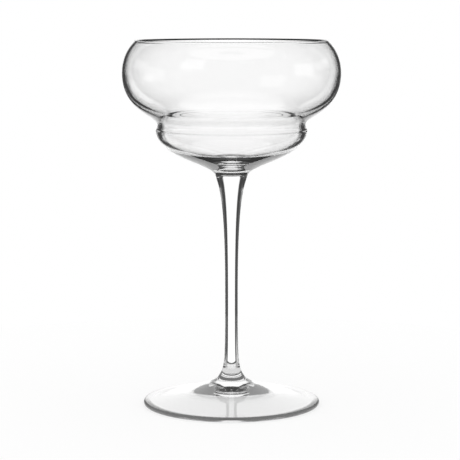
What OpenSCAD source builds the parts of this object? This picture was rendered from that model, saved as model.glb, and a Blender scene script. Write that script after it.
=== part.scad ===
// Margarita glass: a stem glass with a two-tier bowl, a drawn stem and a spun disc foot.
// The three pieces are solids of revolution that are fused to each other at two level joints.
// Millimetres. +Z is up, and the origin is the centre of the foot's standing ring.

/* [Overall] */
// Height of the rim above the table
glass_h = 172; // [160:1:200]

/* [Bowl, upper tier] */
// Diameter of the mouth, at the middle of the lip
mouth_d = 89.5; // [82:0.5:96]
// Widest outer diameter of the upper tier
upper_d = 102.2; // [98:0.1:110]
// Depth of the widest line below the rim
upper_drop = 14.9; // [11:0.1:18]
// Wall of the upper tier, and thickness of the rounded lip
wall = 1.3; // [0.9:0.1:2.2]
// How far the shoulder keeps upright before it turns in under the widest line
shoulder_pull = 18.9; // [14:0.1:20]

/* [Bowl, lower tier] */
// Outer diameter of the waist between the tiers
waist_d = 69.4; // [64:0.1:70]
// Depth of the waist below the rim
waist_drop = 39.5; // [37:0.1:43]
// How far the waist keeps upright before it opens into the shoulder
waist_pull = 5.3; // [4:0.1:7]
// Widest outer diameter of the lower tier
tier_d = 71; // [70.2:0.1:76]
// Depth of the lower tier's widest line below the waist
tier_drop = 2.6; // [2.2:0.1:4]
// Wall of the lower tier
tier_wall = 2.4; // [1:0.1:3]
// How far the lower tier keeps upright before it turns in under the bowl
tier_pull = 11.8; // [9:0.1:13]
// Solid glass between the floor of the bowl and the joint with the stem
floor_t = 5.5; // [4.5:0.1:12]
// How far the inside of the lower tier keeps upright before it turns in to the floor
well_pull = 9.9; // [6:0.1:11]
// Radius over which the floor of the bowl stays nearly level
floor_pull = 6.5; // [3:0.5:12]

/* [Stem] */
// Diameter of the joint between bowl and stem
top_joint_d = 15.1; // [12:0.1:17]
// Depth of the joint between bowl and stem below the rim
top_joint_drop = 63; // [60:0.5:68]
// Flare of the glass at the joint between bowl and stem, in degrees from upright
top_joint_flare = 14; // [5:1:25]
// Reach of that flare into the bowl's base
bowl_flare_pull = 5.1; // [4:0.1:7]
// Reach of that flare into the stem
stem_flare_pull = 6.1; // [4:0.1:9]
// Diameter of the stem at its thinnest
stem_d = 6; // [4.5:0.1:8]
// Height of the stem's thinnest place above the table
stem_thin_h = 53; // [45:1:65]
// Share of the stem above its thinnest place that stays thin before it swells
stem_upper_run = 0.84; // [0.6:0.01:0.9]
// Share of the stem below its thinnest place that stays thin before it flares
stem_lower_run = 0.82; // [0.6:0.01:0.9]

/* [Foot] */
// Diameter of the joint between stem and foot
low_joint_d = 14.6; // [11:0.1:17]
// Height of the joint between stem and foot above the table
low_joint_h = 12; // [10:0.5:14]
// Flare of the glass at the joint between stem and foot, in degrees from upright
low_joint_flare = 44; // [30:1:52]
// Reach of that flare into the stem
stem_end_pull = 6.4; // [4:0.1:8]
// Reach of that flare into the foot
foot_flare_pull = 4; // [3:0.1:8]
// Diameter of the foot
foot_d = 83.5; // [76:0.5:92]
// Thickness of the foot's rounded edge
foot_edge = 2.2; // [1.6:0.1:3]
// Slope of the foot's top at its edge, in degrees
foot_slope = 6; // [4:0.5:9]
// How far that slope runs in from the edge
foot_slope_pull = 6; // [3:0.5:14]
// Width of the flat ring that the glass stands on
ring_w = 2.5; // [1.5:0.1:5]
// Height of the hollow under the middle of the foot
hollow_h = 6.4; // [1:0.1:7]
// Slope of the hollow at the ring, in degrees
hollow_slope = 12; // [2:0.5:13]
// How far that slope runs in from the ring
hollow_slope_pull = 20; // [8:0.5:22]
// Radius over which the top of the hollow stays nearly level
hollow_flat = 16; // [8:0.5:20]

/* [Hidden] */
$fn = 128;

// Points along one curved stretch of a profile
steps = 24;
// Points along a small round, such as the lip or the foot's edge
round_steps = 12;
glass_tint = [0.93, 0.95, 0.95, 0.45];

// Heights of the stations on the axis, from the rim down
upper_z = glass_h - upper_drop;
waist_z = glass_h - waist_drop;
tier_z = waist_z - tier_drop;
top_joint_z = glass_h - top_joint_drop;
floor_z = top_joint_z + floor_t;

// The upper tier is one arc: upright at the widest line, and ending in the middle of the lip
lip_r = wall / 2;
widest = [upper_d / 2 - lip_r, upper_z];
lip = [mouth_d / 2, glass_h - lip_r];
lip_in = widest.x - lip.x;
lip_up = lip.y - widest.y;
upper_r = (lip_in ^ 2 + lip_up ^ 2) / (2 * lip_in);
upper_centre = widest - [upper_r, 0];
lip_lean = asin(lip_up / upper_r);

// Bezier curve through a list of four points, and the direction in which it runs
function bezier(p, t) =
    (1 - t) ^ 3 * p[0] + 3 * t * (1 - t) ^ 2 * p[1] + 3 * t ^ 2 * (1 - t) * p[2] + t ^ 3 * p[3];
function bezier_way(p, t) =
    (1 - t) ^ 2 * (p[1] - p[0]) + 2 * t * (1 - t) * (p[2] - p[1]) + t ^ 2 * (p[3] - p[2]);

// A stretch of a profile, without its first point, which the stretch before it ends on
function stretch(p) = [for (i = [1 : steps]) bezier(p, i / steps)];
function arc(centre, radius, from, to, count) =
    [for (i = [1 : count]) centre + radius * polar(from + (to - from) * i / count)];
function polar(angle) = [cos(angle), sin(angle)];
function reversed(list) = [for (i = [len(list) - 1 : -1 : 0]) list[i]];

// Wall thickness at a height: the upper tier's wall, growing to the lower tier's
function wall_at(z) = wall + (tier_wall - wall) * min(1, (upper_z - z) / (upper_z - tier_z));
// Unit vector into the glass from a profile that runs down its outside
function inward(way) = [way.y, -way.x] / norm(way);
// The inside of a stretch, one wall thickness in from its outside
function inner_stretch(p) =
    [for (i = [1 : steps])
        let (t = i / steps, outside = bezier(p, t))
        outside + wall_at(outside.y) * inward(bezier_way(p, t))];

// Directions up the glass at the two joints, along its outside
top_flare_way = [sin(top_joint_flare), cos(top_joint_flare)];
low_flare_way = [-sin(low_joint_flare), cos(low_joint_flare)];
top_joint = [top_joint_d / 2, top_joint_z];
low_joint = [low_joint_d / 2, low_joint_h];

// Stretches of the bowl's outside
shoulder = [
    [upper_d / 2, upper_z],
    [upper_d / 2, upper_z - shoulder_pull],
    [waist_d / 2, waist_z + waist_pull],
    [waist_d / 2, waist_z]
];
collar_pull = tier_drop / 2;
collar = [
    [waist_d / 2, waist_z],
    [waist_d / 2, waist_z - collar_pull],
    [tier_d / 2, tier_z + collar_pull],
    [tier_d / 2, tier_z]
];
base = [
    [tier_d / 2, tier_z],
    [tier_d / 2, tier_z - tier_pull],
    top_joint + bowl_flare_pull * top_flare_way,
    top_joint
];
// The inside of the lower tier, down to the floor on the axis
well = [
    [tier_d / 2 - tier_wall, tier_z],
    [tier_d / 2 - tier_wall, tier_z - well_pull],
    [floor_pull, floor_z],
    [0, floor_z]
];

// Stretches of the stem's outside
stem_top = [
    top_joint,
    top_joint - stem_flare_pull * top_flare_way,
    [stem_d / 2, stem_thin_h + stem_upper_run * (top_joint_z - stem_thin_h)],
    [stem_d / 2, stem_thin_h]
];
stem_bottom = [
    [stem_d / 2, stem_thin_h],
    [stem_d / 2, stem_thin_h - stem_lower_run * (stem_thin_h - low_joint_h)],
    low_joint + stem_end_pull * low_flare_way,
    low_joint
];

// The foot: its sloping top, its round edge and the hollow that leaves a flat ring to stand on
edge_r = foot_edge / 2;
edge_centre = [foot_d / 2 - edge_r, edge_r];
edge_top_angle = 90 - foot_slope;
edge_top = edge_centre + edge_r * polar(edge_top_angle);
foot_top = [
    low_joint,
    low_joint - foot_flare_pull * low_flare_way,
    edge_top + foot_slope_pull * polar(180 - foot_slope),
    edge_top
];
hollow_edge = [edge_centre.x - ring_w, 0];
hollow = [
    hollow_edge,
    hollow_edge + hollow_slope_pull * polar(180 - hollow_slope),
    [hollow_flat, hollow_h],
    [0, hollow_h]
];

module turned(profile) {
    rotate_extrude() polygon(profile);
}

// Blown bowl, with its solid base
module bowl() {
    outside = concat(
        arc(upper_centre, upper_r + lip_r, lip_lean, 0, steps),
        stretch(shoulder), stretch(collar), stretch(base)
    );
    inside = concat(
        arc(upper_centre, upper_r - lip_r, lip_lean, 0, steps),
        inner_stretch(shoulder), inner_stretch(collar), stretch(well)
    );
    lip_round = concat(
        arc(lip, lip_r, lip_lean + 180, 90, round_steps),
        arc(lip, lip_r, 90, lip_lean, round_steps)
    );
    color(glass_tint) turned(concat(
        lip_round, outside, [[0, top_joint_z]], reversed(inside), [lip - lip_r * polar(lip_lean)]
    ));
}

// Drawn stem, thin in the middle and flared at both ends
module stem() {
    color(glass_tint) turned(concat(
        [[0, top_joint_z], top_joint],
        stretch(stem_top), stretch(stem_bottom),
        [[0, low_joint_h]]
    ));
}

// Spun foot, an even shell over its hollow
module foot() {
    color(glass_tint) turned(concat(
        [[0, low_joint_h], low_joint],
        stretch(foot_top),
        arc(edge_centre, edge_r, edge_top_angle, -90, round_steps),
        [hollow_edge], stretch(hollow)
    ));
}

bowl();
stem();
foot();
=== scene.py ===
"""Looks of the margarita glass: a clear two-tier bowl, a drawn stem and a spun foot.

The bowl, the stem and the foot are turned about the glass's axis as smooth meshes that take the place
of the plain solids in the frame. The stage is a white floor in a dim set. A lit panel behind the glass and
smaller ones round it show through the glass, and the dim gaps beside them give clear glass its dark edges.
"""

import math

import bmesh
import bpy
from bpy.props import FloatProperty, FloatVectorProperty, PointerProperty
from mathutils import Euler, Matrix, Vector


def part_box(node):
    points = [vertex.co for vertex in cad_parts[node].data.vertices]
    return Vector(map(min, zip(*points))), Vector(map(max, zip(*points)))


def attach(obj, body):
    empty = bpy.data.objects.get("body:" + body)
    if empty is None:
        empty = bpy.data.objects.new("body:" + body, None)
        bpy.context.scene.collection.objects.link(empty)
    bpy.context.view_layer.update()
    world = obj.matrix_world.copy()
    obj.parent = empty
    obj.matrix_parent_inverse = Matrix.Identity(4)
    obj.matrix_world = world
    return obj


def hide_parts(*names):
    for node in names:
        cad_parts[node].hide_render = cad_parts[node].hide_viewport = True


bl_info = {
    "name": "Margarita Glass",
    "version": (1, 0, 0),
    "blender": (4, 5, 0),
    "location": "3D View > Sidebar > Glass",
    "description": "Builds a clear margarita glass over its packed frame, on a white stage",
    "category": "Object",
}

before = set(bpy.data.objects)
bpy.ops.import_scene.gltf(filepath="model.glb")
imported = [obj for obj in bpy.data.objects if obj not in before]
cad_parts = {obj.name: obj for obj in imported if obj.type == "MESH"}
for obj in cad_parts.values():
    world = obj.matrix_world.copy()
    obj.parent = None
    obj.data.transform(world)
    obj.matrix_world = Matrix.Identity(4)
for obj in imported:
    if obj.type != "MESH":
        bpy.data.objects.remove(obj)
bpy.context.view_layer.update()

MM = 0.001
# Faces around each turned piece, and points along one curved stretch or one small round of its outline
SEGMENTS = 192
STRETCH_STEPS = 48
ROUND_STEPS = 16
# Edges that turn more than this are creases
CREASE = math.radians(25)
# Depth of the faint relief on each piece
RELIEF_DEPTH = 0.002 * MM
# Gap under the standing ring, so that its face and the floor don't share a plane
FLOOR_GAP = 0.1 * MM
# How far the light patch on the floor fades to each side of its edge
PATCH_FADE = 8 * MM
# Times that light turns back inside glass before the render lets it go
MOST_TURNS = 4
WHITE = (1.0, 1.0, 1.0, 1.0)
# Width of the camera's sensor, in millimetres
SENSOR_WIDTH = 36.0

# Heights and widths that the frame's own solids give
BOWL_LOW, BOWL_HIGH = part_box("bowl")
FOOT_LOW, FOOT_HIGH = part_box("foot")
RIM_Z = BOWL_HIGH.z
TOP_JOINT_Z = BOWL_LOW.z
LOW_JOINT_Z = FOOT_HIGH.z
TABLE_Z = FOOT_LOW.z
UPPER_R = BOWL_HIGH.x
FOOT_R = FOOT_HIGH.x


def linear(hex_colour):
    """Linear red, green and blue of an sRGB hex colour."""
    channels = [int(hex_colour[i:i + 2], 16) / 255 for i in (1, 3, 5)]
    return [c / 12.92 if c <= 0.04045 else ((c + 0.055) / 1.055) ** 2.4 for c in channels]


def length(name, description, millimetres):
    """A size in metres, with its default given in millimetres."""
    return FloatProperty(
        name=name, description=description, default=millimetres * MM, min=0.0, unit="LENGTH", precision=4
    )


def angle(name, description, degrees):
    """An angle in radians, with its default given in degrees."""
    return FloatProperty(name=name, description=description, default=math.radians(degrees), subtype="ANGLE")


def share(name, description, part):
    """A share of a length, from 0 to 1."""
    return FloatProperty(name=name, description=description, default=part, min=0.0, max=1.0, subtype="FACTOR")


class BowlSizes(bpy.types.PropertyGroup):
    """Sizes of the bowl that the frame's box doesn't give."""

    mouth_d: length("Mouth", "Diameter of the mouth, at the middle of the lip", 89.5)
    upper_drop: length("Widest line", "Depth of the upper tier's widest line below the rim", 14.9)
    wall: length("Wall", "Wall of the upper tier, and thickness of the lip", 1.3)
    shoulder_pull: length("Shoulder pull", "How far the shoulder keeps upright before it turns in", 18.9)
    waist_d: length("Waist", "Outer diameter of the waist between the tiers", 69.4)
    waist_drop: length("Waist depth", "Depth of the waist below the rim", 39.5)
    waist_pull: length("Waist pull", "How far the waist keeps upright before it opens out", 5.3)
    tier_d: length("Lower tier", "Widest outer diameter of the lower tier", 71.0)
    tier_drop: length("Lower tier depth", "Depth of the lower tier's widest line below the waist", 2.6)
    tier_wall: length("Lower wall", "Wall of the lower tier", 2.4)
    tier_pull: length("Base pull", "How far the lower tier keeps upright before it turns in", 11.8)
    floor_t: length("Base glass", "Solid glass between the bowl's floor and the stem", 5.5)
    well_pull: length("Well pull", "How far the inside of the lower tier keeps upright", 9.9)
    floor_pull: length("Floor", "Radius over which the floor stays nearly level", 6.5)


class StemSizes(bpy.types.PropertyGroup):
    """Sizes of the stem and of the joints at its ends."""

    top_joint_d: length("Top joint", "Diameter of the joint between bowl and stem", 15.1)
    top_joint_flare: angle("Top flare", "Flare of the glass at the top joint, from upright", 14.0)
    bowl_flare_pull: length("Bowl flare", "Reach of the top flare into the bowl's base", 5.1)
    stem_flare_pull: length("Stem flare", "Reach of the top flare into the stem", 6.1)
    stem_d: length("Stem", "Diameter of the stem at its thinnest", 6.0)
    stem_thin_h: length("Thinnest place", "Height of the stem's thinnest place above the table", 53.0)
    stem_upper_run: share("Upper run", "Share of the upper stem that stays thin before it swells", 0.84)
    stem_lower_run: share("Lower run", "Share of the lower stem that stays thin before it flares", 0.82)
    stem_end_pull: length("Stem end", "Reach of the low flare into the stem", 6.4)


class FootSizes(bpy.types.PropertyGroup):
    """Sizes of the foot and of the joint above it."""

    low_joint_d: length("Low joint", "Diameter of the joint between stem and foot", 14.6)
    low_joint_flare: angle("Low flare", "Flare of the glass at the low joint, from upright", 44.0)
    foot_flare_pull: length("Foot flare", "Reach of the low flare into the foot", 4.0)
    foot_edge: length("Edge", "Thickness of the foot's rounded edge", 2.2)
    foot_slope: angle("Slope", "Slope of the foot's top at its edge", 6.0)
    foot_slope_pull: length("Slope run", "How far that slope runs in from the edge", 6.0)
    ring_w: length("Ring", "Width of the flat ring that the glass stands on", 2.5)
    hollow_h: length("Hollow", "Height of the hollow under the middle of the foot", 6.4)
    hollow_slope: angle("Hollow slope", "Slope of the hollow at the ring", 12.0)
    hollow_slope_pull: length("Hollow slope run", "How far that slope runs in from the ring", 20.0)
    hollow_flat: length("Hollow top", "Radius over which the hollow's top stays nearly level", 16.0)


class StageLook(bpy.types.PropertyGroup):
    """The white floor, the lit panel behind the glass, and the place of the camera."""

    floor_colour: FloatVectorProperty(
        name="Floor", description="Colour of the white paper floor", subtype="COLOR",
        default=linear("#959595"),
    )
    floor_r: length("Floor radius", "Radius of the round paper floor", 240.0)
    patch_back: length("Patch back", "Reach behind the axis of the white patch that the glass sees", 42.0)
    patch_r: length("Patch radius", "Radius of the white patch that the glass sees", 142.0)
    patch_light: share("Patch light", "Brightness of that patch, where 1 is white", 0.75)
    panel_back: length("Panel distance", "How far behind the axis the lit panel stands", 226.0)
    panel_half: length("Panel half width", "Half the width of the lit panel", 100.0)
    panel_fade: length("Panel fade", "How far the panel's light fades to each side of its edge", 12.0)
    panel_top: length("Panel top", "Height of the panel's top above the table", 230.0)
    panel_low: length("Panel low", "How far the panel reaches below the table", 70.0)
    panel_light: FloatProperty(
        name="Panel light", description="Brightness of the lit panel, where 1 is white", default=1.12, min=0.0
    )
    camera_away: length("Camera distance", "Level distance from the glass's axis to the camera", 851.2)
    camera_up: length("Camera height", "Height of the camera above the table", 189.2)
    camera_aside: length("Camera aside", "How far the camera stands to the left of the axis", 0.7)
    camera_tilt: angle("Camera tilt", "How far the camera looks down", 7.112)
    camera_lens: FloatProperty(
        name="Lens", description="Focal length, in millimetres, on the camera's sensor",
        default=142.5, unit="CAMERA",
    )


def add_node(tree, kind, inputs=None, **settings):
    """Adds a node, sets its settings, and fills or links its inputs."""
    node = tree.nodes.new(kind)
    for name, value in settings.items():
        setattr(node, name, value)
    for socket, value in (inputs or {}).items():
        if isinstance(value, bpy.types.NodeSocket):
            tree.links.new(value, node.inputs[socket])
        else:
            node.inputs[socket].default_value = value
    return node


def new_material(name):
    """An empty node material, and its output node."""
    material = bpy.data.materials.new(name)
    material.use_nodes = True
    material.node_tree.nodes.clear()
    return material, add_node(material.node_tree, "ShaderNodeOutputMaterial")


def clear_glass(name, relief_of, painted_glow):
    """Clear soda-lime glass with a fire-polished skin, whose relief comes from how the piece was made.

    Light that has turned back often inside the glass is not followed further. There the glass glows with a
    fixed painted light, so that thick edges look grey, standing in for the light that would run on in the
    glass.
    """
    material, out = new_material(name)
    tree = material.node_tree
    place = add_node(tree, "ShaderNodeTexCoord").outputs["Object"]
    relief = relief_of(tree, place)
    bump = add_node(tree, "ShaderNodeBump", {"Strength": 1.0, "Distance": RELIEF_DEPTH, "Height": relief})
    # Painted glow: the glass gives out a fixed light where the render stops following light trapped in it
    turns = add_node(tree, "ShaderNodeLightPath").outputs["Glossy Depth"]
    trapped = add_node(tree, "ShaderNodeMath", {
        0: turns, 1: MOST_TURNS - 0.5,
    }, operation="GREATER_THAN").outputs["Value"]
    glow = add_node(tree, "ShaderNodeMath", {
        0: trapped, 1: painted_glow,
    }, operation="MULTIPLY").outputs["Value"]
    glass = add_node(tree, "ShaderNodeBsdfPrincipled", {
        "Base Color": (*linear("#FEFEFE"), 1.0),
        "Emission Color": WHITE,
        "Emission Strength": glow,
        "Transmission Weight": 1.0,
        "IOR": 1.52,
        "Roughness": 0.0,
        "Normal": bump.outputs["Normal"],
    })
    tree.links.new(glass.outputs["BSDF"], out.inputs["Surface"])
    return material


def mould_rings(tree, place):
    """Faint level rings, which a bowl gets as it turns in its mould, about 7 mm apart."""
    wave = add_node(tree, "ShaderNodeTexWave", {
        "Vector": place, "Scale": math.pi / (10 * 7 * MM),
        "Distortion": 1.5, "Detail": 1.0, "Detail Scale": 0.6,
    }, wave_type="BANDS", bands_direction="Z")
    return wave.outputs["Fac"]


def drawn_cords(tree, place):
    """Faint cords along a drawn stem, about 2 mm wide and 40 mm long."""
    stretched = add_node(tree, "ShaderNodeMapping", {
        "Vector": place, "Scale": (1 / (2 * MM), 1 / (2 * MM), 1 / (40 * MM)),
    })
    noise = add_node(tree, "ShaderNodeTexNoise", {
        "Vector": stretched.outputs["Vector"], "Scale": 1.0, "Detail": 1.0,
    })
    return noise.outputs["Fac"]


def spun_rings(tree, place):
    """Faint rings about the axis, which a foot gets as it is spun out, about 5 mm apart."""
    wave = add_node(tree, "ShaderNodeTexWave", {
        "Vector": place, "Scale": math.pi / (10 * 5 * MM),
        "Distortion": 1.0, "Detail": 1.0, "Detail Scale": 0.6,
    }, wave_type="RINGS", rings_direction="Z")
    return wave.outputs["Fac"]


def fused_seam():
    """The face inside a fused joint, where glass goes on into glass and nothing is seen."""
    material, out = new_material("fused_seam")
    clear = add_node(material.node_tree, "ShaderNodeBsdfTransparent")
    material.node_tree.links.new(clear.outputs["BSDF"], out.inputs["Surface"])
    return material


def seam_material():
    """The one seam material, made when it is first asked for."""
    return bpy.data.materials.get("fused_seam") or fused_seam()


def polar(above_level):
    """Unit vector in the plane of an outline, from its angle above level."""
    return Vector((math.cos(above_level), math.sin(above_level)))


def arc(centre, radius, start, end, count):
    """Points along an arc, without its first one."""
    return [centre + radius * polar(start + (end - start) * i / count) for i in range(1, count + 1)]


def bezier(points, t):
    """Point on a cubic curve through four control points."""
    a, b, c, d = points
    s = 1 - t
    return s ** 3 * a + 3 * t * s ** 2 * b + 3 * t ** 2 * s * c + t ** 3 * d


def bezier_way(points, t):
    """Direction in which that curve runs."""
    a, b, c, d = points
    s = 1 - t
    return s ** 2 * (b - a) + 2 * t * s * (c - b) + t ** 2 * (d - c)


def stretch(points):
    """Points along a curve, without its first one."""
    return [bezier(points, i / STRETCH_STEPS) for i in range(1, STRETCH_STEPS + 1)]


def turn(name, outline, material, seam_heights):
    """Turns an outline of (radius, height) points about Z into a closed smooth piece.

    The outline starts and ends on the axis. Level faces at a seam height get the seam's material.
    """
    bm = bmesh.new()
    rings = []
    for point in outline:
        if point.x < 1e-7:
            rings.append([bm.verts.new((0.0, 0.0, point.y))])
            continue
        angles = [2 * math.pi * i / SEGMENTS for i in range(SEGMENTS)]
        rings.append([bm.verts.new((point.x * math.cos(a), point.x * math.sin(a), point.y)) for a in angles])
    for upper, lower in zip(rings, rings[1:]):
        heights = (upper[0].co.z, lower[0].co.z)
        at_seam = any(max(abs(h - z) for h in heights) < 1e-7 for z in seam_heights)
        for i in range(SEGMENTS):
            j = (i + 1) % SEGMENTS
            corners = [
                upper[i % len(upper)], upper[j % len(upper)],
                lower[j % len(lower)], lower[i % len(lower)],
            ]
            face = bm.faces.new(dict.fromkeys(corners))
            face.smooth = True
            face.material_index = int(at_seam)
    bmesh.ops.recalc_face_normals(bm, faces=bm.faces)
    for edge in bm.edges:
        edge.smooth = edge.calc_face_angle(0.0) < CREASE
    mesh = bpy.data.meshes.new(name)
    bm.to_mesh(mesh)
    bm.free()
    mesh.materials.append(material)
    mesh.materials.append(seam_material())
    piece = bpy.data.objects.new(name, mesh)
    bpy.context.scene.collection.objects.link(piece)
    return piece


def top_joint(stem):
    """Outline point at the top joint, and the direction up the glass there."""
    flare = stem.top_joint_flare
    return Vector((stem.top_joint_d / 2, TOP_JOINT_Z)), Vector((math.sin(flare), math.cos(flare)))


def low_joint(foot):
    """Outline point at the low joint, and the direction up the glass there."""
    flare = foot.low_joint_flare
    return Vector((foot.low_joint_d / 2, LOW_JOINT_Z)), Vector((-math.sin(flare), math.cos(flare)))


def bowl_outline(bowl, stem):
    """The bowl's outline: joint, outside, lip, inside and floor."""
    upper_z = RIM_Z - bowl.upper_drop
    waist_z = RIM_Z - bowl.waist_drop
    tier_z = waist_z - bowl.tier_drop
    floor_z = TOP_JOINT_Z + bowl.floor_t
    waist_r = bowl.waist_d / 2
    tier_r = bowl.tier_d / 2
    joint, joint_up = top_joint(stem)

    # The upper tier is one arc: upright at the widest line, and ending in the middle of the lip
    lip_r = bowl.wall / 2
    lip = Vector((bowl.mouth_d / 2, RIM_Z - lip_r))
    lip_in = UPPER_R - lip_r - lip.x
    lip_up = lip.y - upper_z
    upper_r = (lip_in ** 2 + lip_up ** 2) / (2 * lip_in)
    centre = Vector((UPPER_R - lip_r - upper_r, upper_z))
    lean = math.asin(lip_up / upper_r)

    shoulder = [
        Vector((UPPER_R, upper_z)), Vector((UPPER_R, upper_z - bowl.shoulder_pull)),
        Vector((waist_r, waist_z + bowl.waist_pull)), Vector((waist_r, waist_z)),
    ]
    collar_pull = bowl.tier_drop / 2
    collar = [
        Vector((waist_r, waist_z)), Vector((waist_r, waist_z - collar_pull)),
        Vector((tier_r, tier_z + collar_pull)), Vector((tier_r, tier_z)),
    ]
    base = [
        Vector((tier_r, tier_z)), Vector((tier_r, tier_z - bowl.tier_pull)),
        joint + stem.bowl_flare_pull * joint_up, joint,
    ]
    well_r = tier_r - bowl.tier_wall
    well = [
        Vector((well_r, tier_z)), Vector((well_r, tier_z - bowl.well_pull)),
        Vector((bowl.floor_pull, floor_z)), Vector((0.0, floor_z)),
    ]

    def inner_stretch(points):
        """The inside of a stretch, one wall thickness in from its outside."""
        inside = []
        for i in range(1, STRETCH_STEPS + 1):
            outside = bezier(points, i / STRETCH_STEPS)
            way = bezier_way(points, i / STRETCH_STEPS).normalized()
            way_down = min(1.0, (upper_z - outside.y) / (upper_z - tier_z))
            thickness = bowl.wall + (bowl.tier_wall - bowl.wall) * way_down
            inside.append(outside + thickness * Vector((way.y, -way.x)))
        return inside

    outside = (
        arc(centre, upper_r + lip_r, lean, 0.0, STRETCH_STEPS)
        + stretch(shoulder) + stretch(collar) + stretch(base)
    )
    inside = (
        arc(centre, upper_r - lip_r, lean, 0.0, STRETCH_STEPS)
        + inner_stretch(shoulder) + inner_stretch(collar) + stretch(well)
    )
    lip_round = (
        [lip + lip_r * polar(lean)]
        + arc(lip, lip_r, lean, math.pi / 2, ROUND_STEPS)
        + arc(lip, lip_r, math.pi / 2, lean + math.pi, ROUND_STEPS)
    )
    return [Vector((0.0, TOP_JOINT_Z))] + outside[::-1] + lip_round + inside


def stem_outline(stem, foot):
    """The stem's outline: thin in the middle and flared at both ends."""
    top, top_up = top_joint(stem)
    low, low_up = low_joint(foot)
    thin = Vector((stem.stem_d / 2, TABLE_Z + stem.stem_thin_h))
    still_thin = thin + Vector((0.0, stem.stem_upper_run * (top.y - thin.y)))
    thin_from = thin - Vector((0.0, stem.stem_lower_run * (thin.y - low.y)))
    upper = [top, top - stem.stem_flare_pull * top_up, still_thin, thin]
    lower = [thin, thin_from, low + stem.stem_end_pull * low_up, low]
    return (
        [Vector((0.0, TOP_JOINT_Z)), top] + stretch(upper) + stretch(lower) + [Vector((0.0, LOW_JOINT_Z))]
    )


def foot_outline(foot):
    """The foot's outline: sloping top, round edge, standing ring and hollow underside."""
    joint, joint_up = low_joint(foot)
    edge_r = foot.foot_edge / 2
    edge = Vector((FOOT_R - edge_r, TABLE_Z + edge_r))
    edge_top = edge + edge_r * polar(math.pi / 2 - foot.foot_slope)
    top = [
        joint, joint - foot.foot_flare_pull * joint_up,
        edge_top + foot.foot_slope_pull * polar(math.pi - foot.foot_slope), edge_top,
    ]
    hollow_edge = Vector((edge.x - foot.ring_w, TABLE_Z))
    hollow_top = TABLE_Z + foot.hollow_h
    hollow = [
        hollow_edge, hollow_edge + foot.hollow_slope_pull * polar(math.pi - foot.hollow_slope),
        Vector((foot.hollow_flat, hollow_top)), Vector((0.0, hollow_top)),
    ]
    return (
        [Vector((0.0, LOW_JOINT_Z)), joint]
        + stretch(top)
        + arc(edge, edge_r, math.pi / 2 - foot.foot_slope, -math.pi / 2, ROUND_STEPS)
        + [hollow_edge]
        + stretch(hollow)
    )


def settle(piece, node):
    """Puts a finished piece on the glass's one body, in place of its plain solid."""
    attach(piece, "root")
    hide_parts(node)


class MARGARITA_OT_bowl(bpy.types.Operator):
    """Turns the blown bowl"""

    bl_idname = "margarita.bowl"
    bl_label = "Bowl"

    def execute(self, context):
        scene = context.scene
        # Blown into a turning mould: clear, with level rings so faint that only the edges waver; a faint
        # painted glow greys its thick edges
        material = clear_glass("blown_soda_glass", mould_rings, painted_glow=0.015)
        outline = bowl_outline(scene.margarita_bowl, scene.margarita_stem)
        settle(turn("blown_bowl", outline, material, [TOP_JOINT_Z]), "bowl")
        return {"FINISHED"}


class MARGARITA_OT_stem(bpy.types.Operator):
    """Turns the drawn stem"""

    bl_idname = "margarita.stem"
    bl_label = "Stem"

    def execute(self, context):
        scene = context.scene
        # Drawn out while soft: clear, with faint cords along its length; a painted glow greys its edges
        material = clear_glass("drawn_soda_glass", drawn_cords, painted_glow=0.05)
        outline = stem_outline(scene.margarita_stem, scene.margarita_foot)
        settle(turn("drawn_stem", outline, material, [TOP_JOINT_Z, LOW_JOINT_Z]), "stem")
        return {"FINISHED"}


class MARGARITA_OT_foot(bpy.types.Operator):
    """Turns the spun foot"""

    bl_idname = "margarita.foot"
    bl_label = "Foot"

    def execute(self, context):
        # Spun out flat while soft: clear, with faint rings about the axis; a stronger painted glow greys its
        # thick edge
        material = clear_glass("spun_soda_glass", spun_rings, painted_glow=0.09)
        outline = foot_outline(context.scene.margarita_foot)
        settle(turn("spun_foot", outline, material, [LOW_JOINT_Z]), "foot")
        return {"FINISHED"}


# Small panels of the set: bearing in degrees from straight behind the glass, with the right positive, half
# the panel's width, its rise, half its height, and its brightness
PANELS = [
    (-36, 2, -19.5, 3, 1.0),
    (36, 2, -19.5, 3, 1.0),
    (-52, 12, -10, 30, 0.12),
    (52, 12, -10, 30, 0.12),
    (-66, 14, 11, 6, 0.5),
    (66, 14, 11, 6, 0.5),
]
# Panels for the other sides, in the same numbers, which show through the glass and leave no glints on it
THROUGH_PANELS = [
    (-46, 9, -25, 13, 0.7),
    (-90, 15, -3, 14, 1.0),
    (135, 14, -15, 13, 1.0),
]
# Degrees over which a small panel's edge fades to each side, and brightness of the dim set between panels
PANEL_FADE = 3
DIM = 0.06


def seen_by_glass(tree):
    """1 for rays that have just left glass, and 0 for the camera's own rays and for light on the floor."""
    path = add_node(tree, "ShaderNodeLightPath").outputs
    return add_node(tree, "ShaderNodeMath", {
        0: path["Is Glossy Ray"], 1: path["Is Transmission Ray"],
    }, operation="MAXIMUM").outputs["Value"]


def panel_reach(tree, turned, centre, half):
    """1 inside a panel along one angle, fading to 0 at its edges."""
    off = add_node(tree, "ShaderNodeMath", {0: turned, 1: math.radians(centre)}, operation="SUBTRACT")
    round_off = add_node(tree, "ShaderNodeMath", {
        0: off.outputs["Value"], 1: math.pi, 2: -math.pi,
    }, operation="WRAP")
    size = add_node(tree, "ShaderNodeMath", {0: round_off.outputs["Value"]}, operation="ABSOLUTE")
    return add_node(tree, "ShaderNodeMapRange", {
        "Value": size.outputs["Value"],
        "From Min": math.radians(half + PANEL_FADE), "From Max": math.radians(half - PANEL_FADE),
    }, interpolation_type="SMOOTHSTEP").outputs["Result"]


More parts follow.
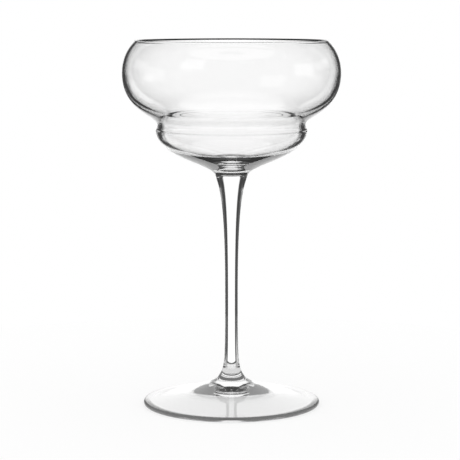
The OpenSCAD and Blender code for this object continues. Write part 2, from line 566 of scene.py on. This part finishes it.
def brightest(tree, bearing, rise, panels, start):
    """Brightness of the set in a direction: the brightest of these panels there, or else the start."""
    lit = start
    for at, half_width, up, half_height, bright in panels:
        panel = add_node(tree, "ShaderNodeMath", {
            0: panel_reach(tree, bearing, at, half_width), 1: panel_reach(tree, rise, up, half_height),
        }, operation="MULTIPLY").outputs["Value"]
        shown = add_node(tree, "ShaderNodeMath", {0: panel, 1: bright}, operation="MULTIPLY").outputs["Value"]
        lit = add_node(tree, "ShaderNodeMath", {0: lit, 1: shown}, operation="MAXIMUM").outputs["Value"]
    return lit


def panelled_world():
    """White all round to the camera and the floor; to the glass a dim set with small white panels."""
    world = bpy.data.worlds.new("panelled_set")
    world.use_nodes = True
    tree = world.node_tree
    tree.nodes.clear()
    way = add_node(tree, "ShaderNodeTexCoord").outputs["Generated"]
    split = add_node(tree, "ShaderNodeSeparateXYZ", {"Vector": way}).outputs
    bearing = add_node(tree, "ShaderNodeMath", {
        0: split["X"], 1: split["Y"],
    }, operation="ARCTAN2").outputs["Value"]
    rise = add_node(tree, "ShaderNodeMath", {0: split["Z"]}, operation="ARCSINE").outputs["Value"]
    near = brightest(tree, bearing, rise, PANELS, DIM)
    through = add_node(tree, "ShaderNodeMath", {
        0: brightest(tree, bearing, rise, THROUGH_PANELS, 0.0),
        1: add_node(tree, "ShaderNodeLightPath").outputs["Is Transmission Ray"],
    }, operation="MULTIPLY").outputs["Value"]
    lit = add_node(tree, "ShaderNodeMath", {0: near, 1: through}, operation="MAXIMUM").outputs["Value"]
    strength = add_node(tree, "ShaderNodeMix", {"Factor": seen_by_glass(tree), "A": 1.0, "B": lit})
    background = add_node(tree, "ShaderNodeBackground", {
        "Color": WHITE, "Strength": strength.outputs["Result"],
    })
    add_node(tree, "ShaderNodeOutputWorld", {"Surface": background.outputs["Background"]})
    return world


def paper(look):
    """White paper floor: matt, and lit so evenly that only a faint shade shows under the glass.

    The glass sees it as a round pool of painted light, and past that sees the panel and the dim set.
    """
    colour = look.floor_colour
    patch_r = look.patch_r
    material, out = new_material("white_paper")
    tree = material.node_tree
    matt = add_node(tree, "ShaderNodeBsdfDiffuse", {"Color": (*colour, 1.0)})
    glow = add_node(tree, "ShaderNodeEmission", {"Color": WHITE, "Strength": 1.0 - min(colour)})
    lit = add_node(tree, "ShaderNodeAddShader", {0: matt.outputs["BSDF"], 1: glow.outputs["Emission"]})
    # Painted light: to the glass the floor glows white only in a round pool, and the glass looks past the
    # rest
    place = add_node(tree, "ShaderNodeTexCoord").outputs["Object"]
    away = add_node(tree, "ShaderNodeVectorMath", {
        0: place, 1: (0.0, look.patch_back - patch_r, 0.0),
    }, operation="DISTANCE").outputs["Value"]
    patch = add_node(tree, "ShaderNodeMapRange", {
        "Value": away, "From Min": patch_r + PATCH_FADE, "From Max": patch_r - PATCH_FADE,
    }, interpolation_type="SMOOTHSTEP").outputs["Result"]
    white = add_node(tree, "ShaderNodeEmission", {"Color": WHITE, "Strength": look.patch_light})
    past = add_node(tree, "ShaderNodeBsdfTransparent")
    through = add_node(tree, "ShaderNodeMixShader", {
        0: patch, 1: past.outputs["BSDF"], 2: white.outputs["Emission"],
    })
    both = add_node(tree, "ShaderNodeMixShader", {
        0: seen_by_glass(tree), 1: lit.outputs["Shader"], 2: through.outputs["Shader"],
    })
    tree.links.new(both.outputs["Shader"], out.inputs["Surface"])
    return material


def lamp_cloth(look):
    """White cloth stretched over a lamp: even in the middle and soft at its upright edges.

    Only the glass shows it, and the camera and the floor look past it.
    """
    material, out = new_material("stretched_lamp_cloth")
    tree = material.node_tree
    place = add_node(tree, "ShaderNodeTexCoord").outputs["Object"]
    across = add_node(tree, "ShaderNodeSeparateXYZ", {"Vector": place}).outputs["X"]
    aside = add_node(tree, "ShaderNodeMath", {0: across}, operation="ABSOLUTE").outputs["Value"]
    inside = add_node(tree, "ShaderNodeMapRange", {
        "Value": aside,
        "From Min": look.panel_half + look.panel_fade, "From Max": look.panel_half - look.panel_fade,
    }, interpolation_type="SMOOTHSTEP").outputs["Result"]
    shown = add_node(tree, "ShaderNodeMath", {0: inside, 1: seen_by_glass(tree)}, operation="MULTIPLY")
    white = add_node(tree, "ShaderNodeEmission", {"Color": WHITE, "Strength": look.panel_light})
    past = add_node(tree, "ShaderNodeBsdfTransparent")
    both = add_node(tree, "ShaderNodeMixShader", {
        0: shown.outputs["Value"], 1: past.outputs["BSDF"], 2: white.outputs["Emission"],
    })
    tree.links.new(both.outputs["Shader"], out.inputs["Surface"])
    return material


class MARGARITA_OT_stage(bpy.types.Operator):
    """Lays the white floor, sets the lights round the glass and places the camera"""

    bl_idname = "margarita.stage"
    bl_label = "Stage"

    def execute(self, context):
        scene = context.scene
        look = scene.margarita_stage
        bm = bmesh.new()
        bmesh.ops.create_circle(bm, cap_ends=True, radius=look.floor_r, segments=SEGMENTS)
        mesh = bpy.data.meshes.new("floor")
        bm.to_mesh(mesh)
        bm.free()
        mesh.materials.append(paper(look))
        floor = bpy.data.objects.new("floor", mesh)
        floor.location.z = TABLE_Z - FLOOR_GAP
        scene.collection.objects.link(floor)

        half = look.panel_half + look.panel_fade
        low = TABLE_Z - look.panel_low
        top = TABLE_Z + look.panel_top
        corners = [(-half, 0, low), (half, 0, low), (half, 0, top), (-half, 0, top)]
        mesh = bpy.data.meshes.new("lamp_panel")
        mesh.from_pydata(corners, [], [(0, 1, 2, 3)])
        mesh.materials.append(lamp_cloth(look))
        panel = bpy.data.objects.new("lamp_panel", mesh)
        panel.location.y = look.panel_back
        scene.collection.objects.link(panel)

        scene.world = panelled_world()

        camera_data = bpy.data.cameras.new("camera")
        camera_data.sensor_width = SENSOR_WIDTH
        camera_data.lens = look.camera_lens
        camera = bpy.data.objects.new("camera", camera_data)
        camera.location = (-look.camera_aside, -look.camera_away, TABLE_Z + look.camera_up)
        camera.rotation_euler = Euler((math.pi / 2 - look.camera_tilt, 0.0, 0.0))
        scene.collection.objects.link(camera)
        scene.camera = camera

        scene.view_settings.view_transform = "Standard"
        return {"FINISHED"}


OPERATORS = [MARGARITA_OT_bowl, MARGARITA_OT_stem, MARGARITA_OT_foot, MARGARITA_OT_stage]


class MARGARITA_PT_panel(bpy.types.Panel):
    """Lists the pieces of the glass and its stage"""

    bl_idname = "MARGARITA_PT_panel"
    bl_label = "Margarita Glass"
    bl_space_type = "VIEW_3D"
    bl_region_type = "UI"
    bl_category = "Glass"

    def draw(self, context):
        for operator in OPERATORS:
            self.layout.operator(operator.bl_idname)


GROUPS = {
    "margarita_bowl": BowlSizes,
    "margarita_stem": StemSizes,
    "margarita_foot": FootSizes,
    "margarita_stage": StageLook,
}


def register():
    for cls in [*GROUPS.values(), *OPERATORS, MARGARITA_PT_panel]:
        bpy.utils.register_class(cls)
    for name, group in GROUPS.items():
        setattr(bpy.types.Scene, name, PointerProperty(type=group))


def unregister():
    for name in GROUPS:
        delattr(bpy.types.Scene, name)
    for cls in [MARGARITA_PT_panel, *OPERATORS, *GROUPS.values()]:
        bpy.utils.unregister_class(cls)


def main():
    register()
    bpy.ops.margarita.stage()
    bpy.ops.margarita.bowl()
    bpy.ops.margarita.stem()
    bpy.ops.margarita.foot()


if __name__ == "__main__":
    main()
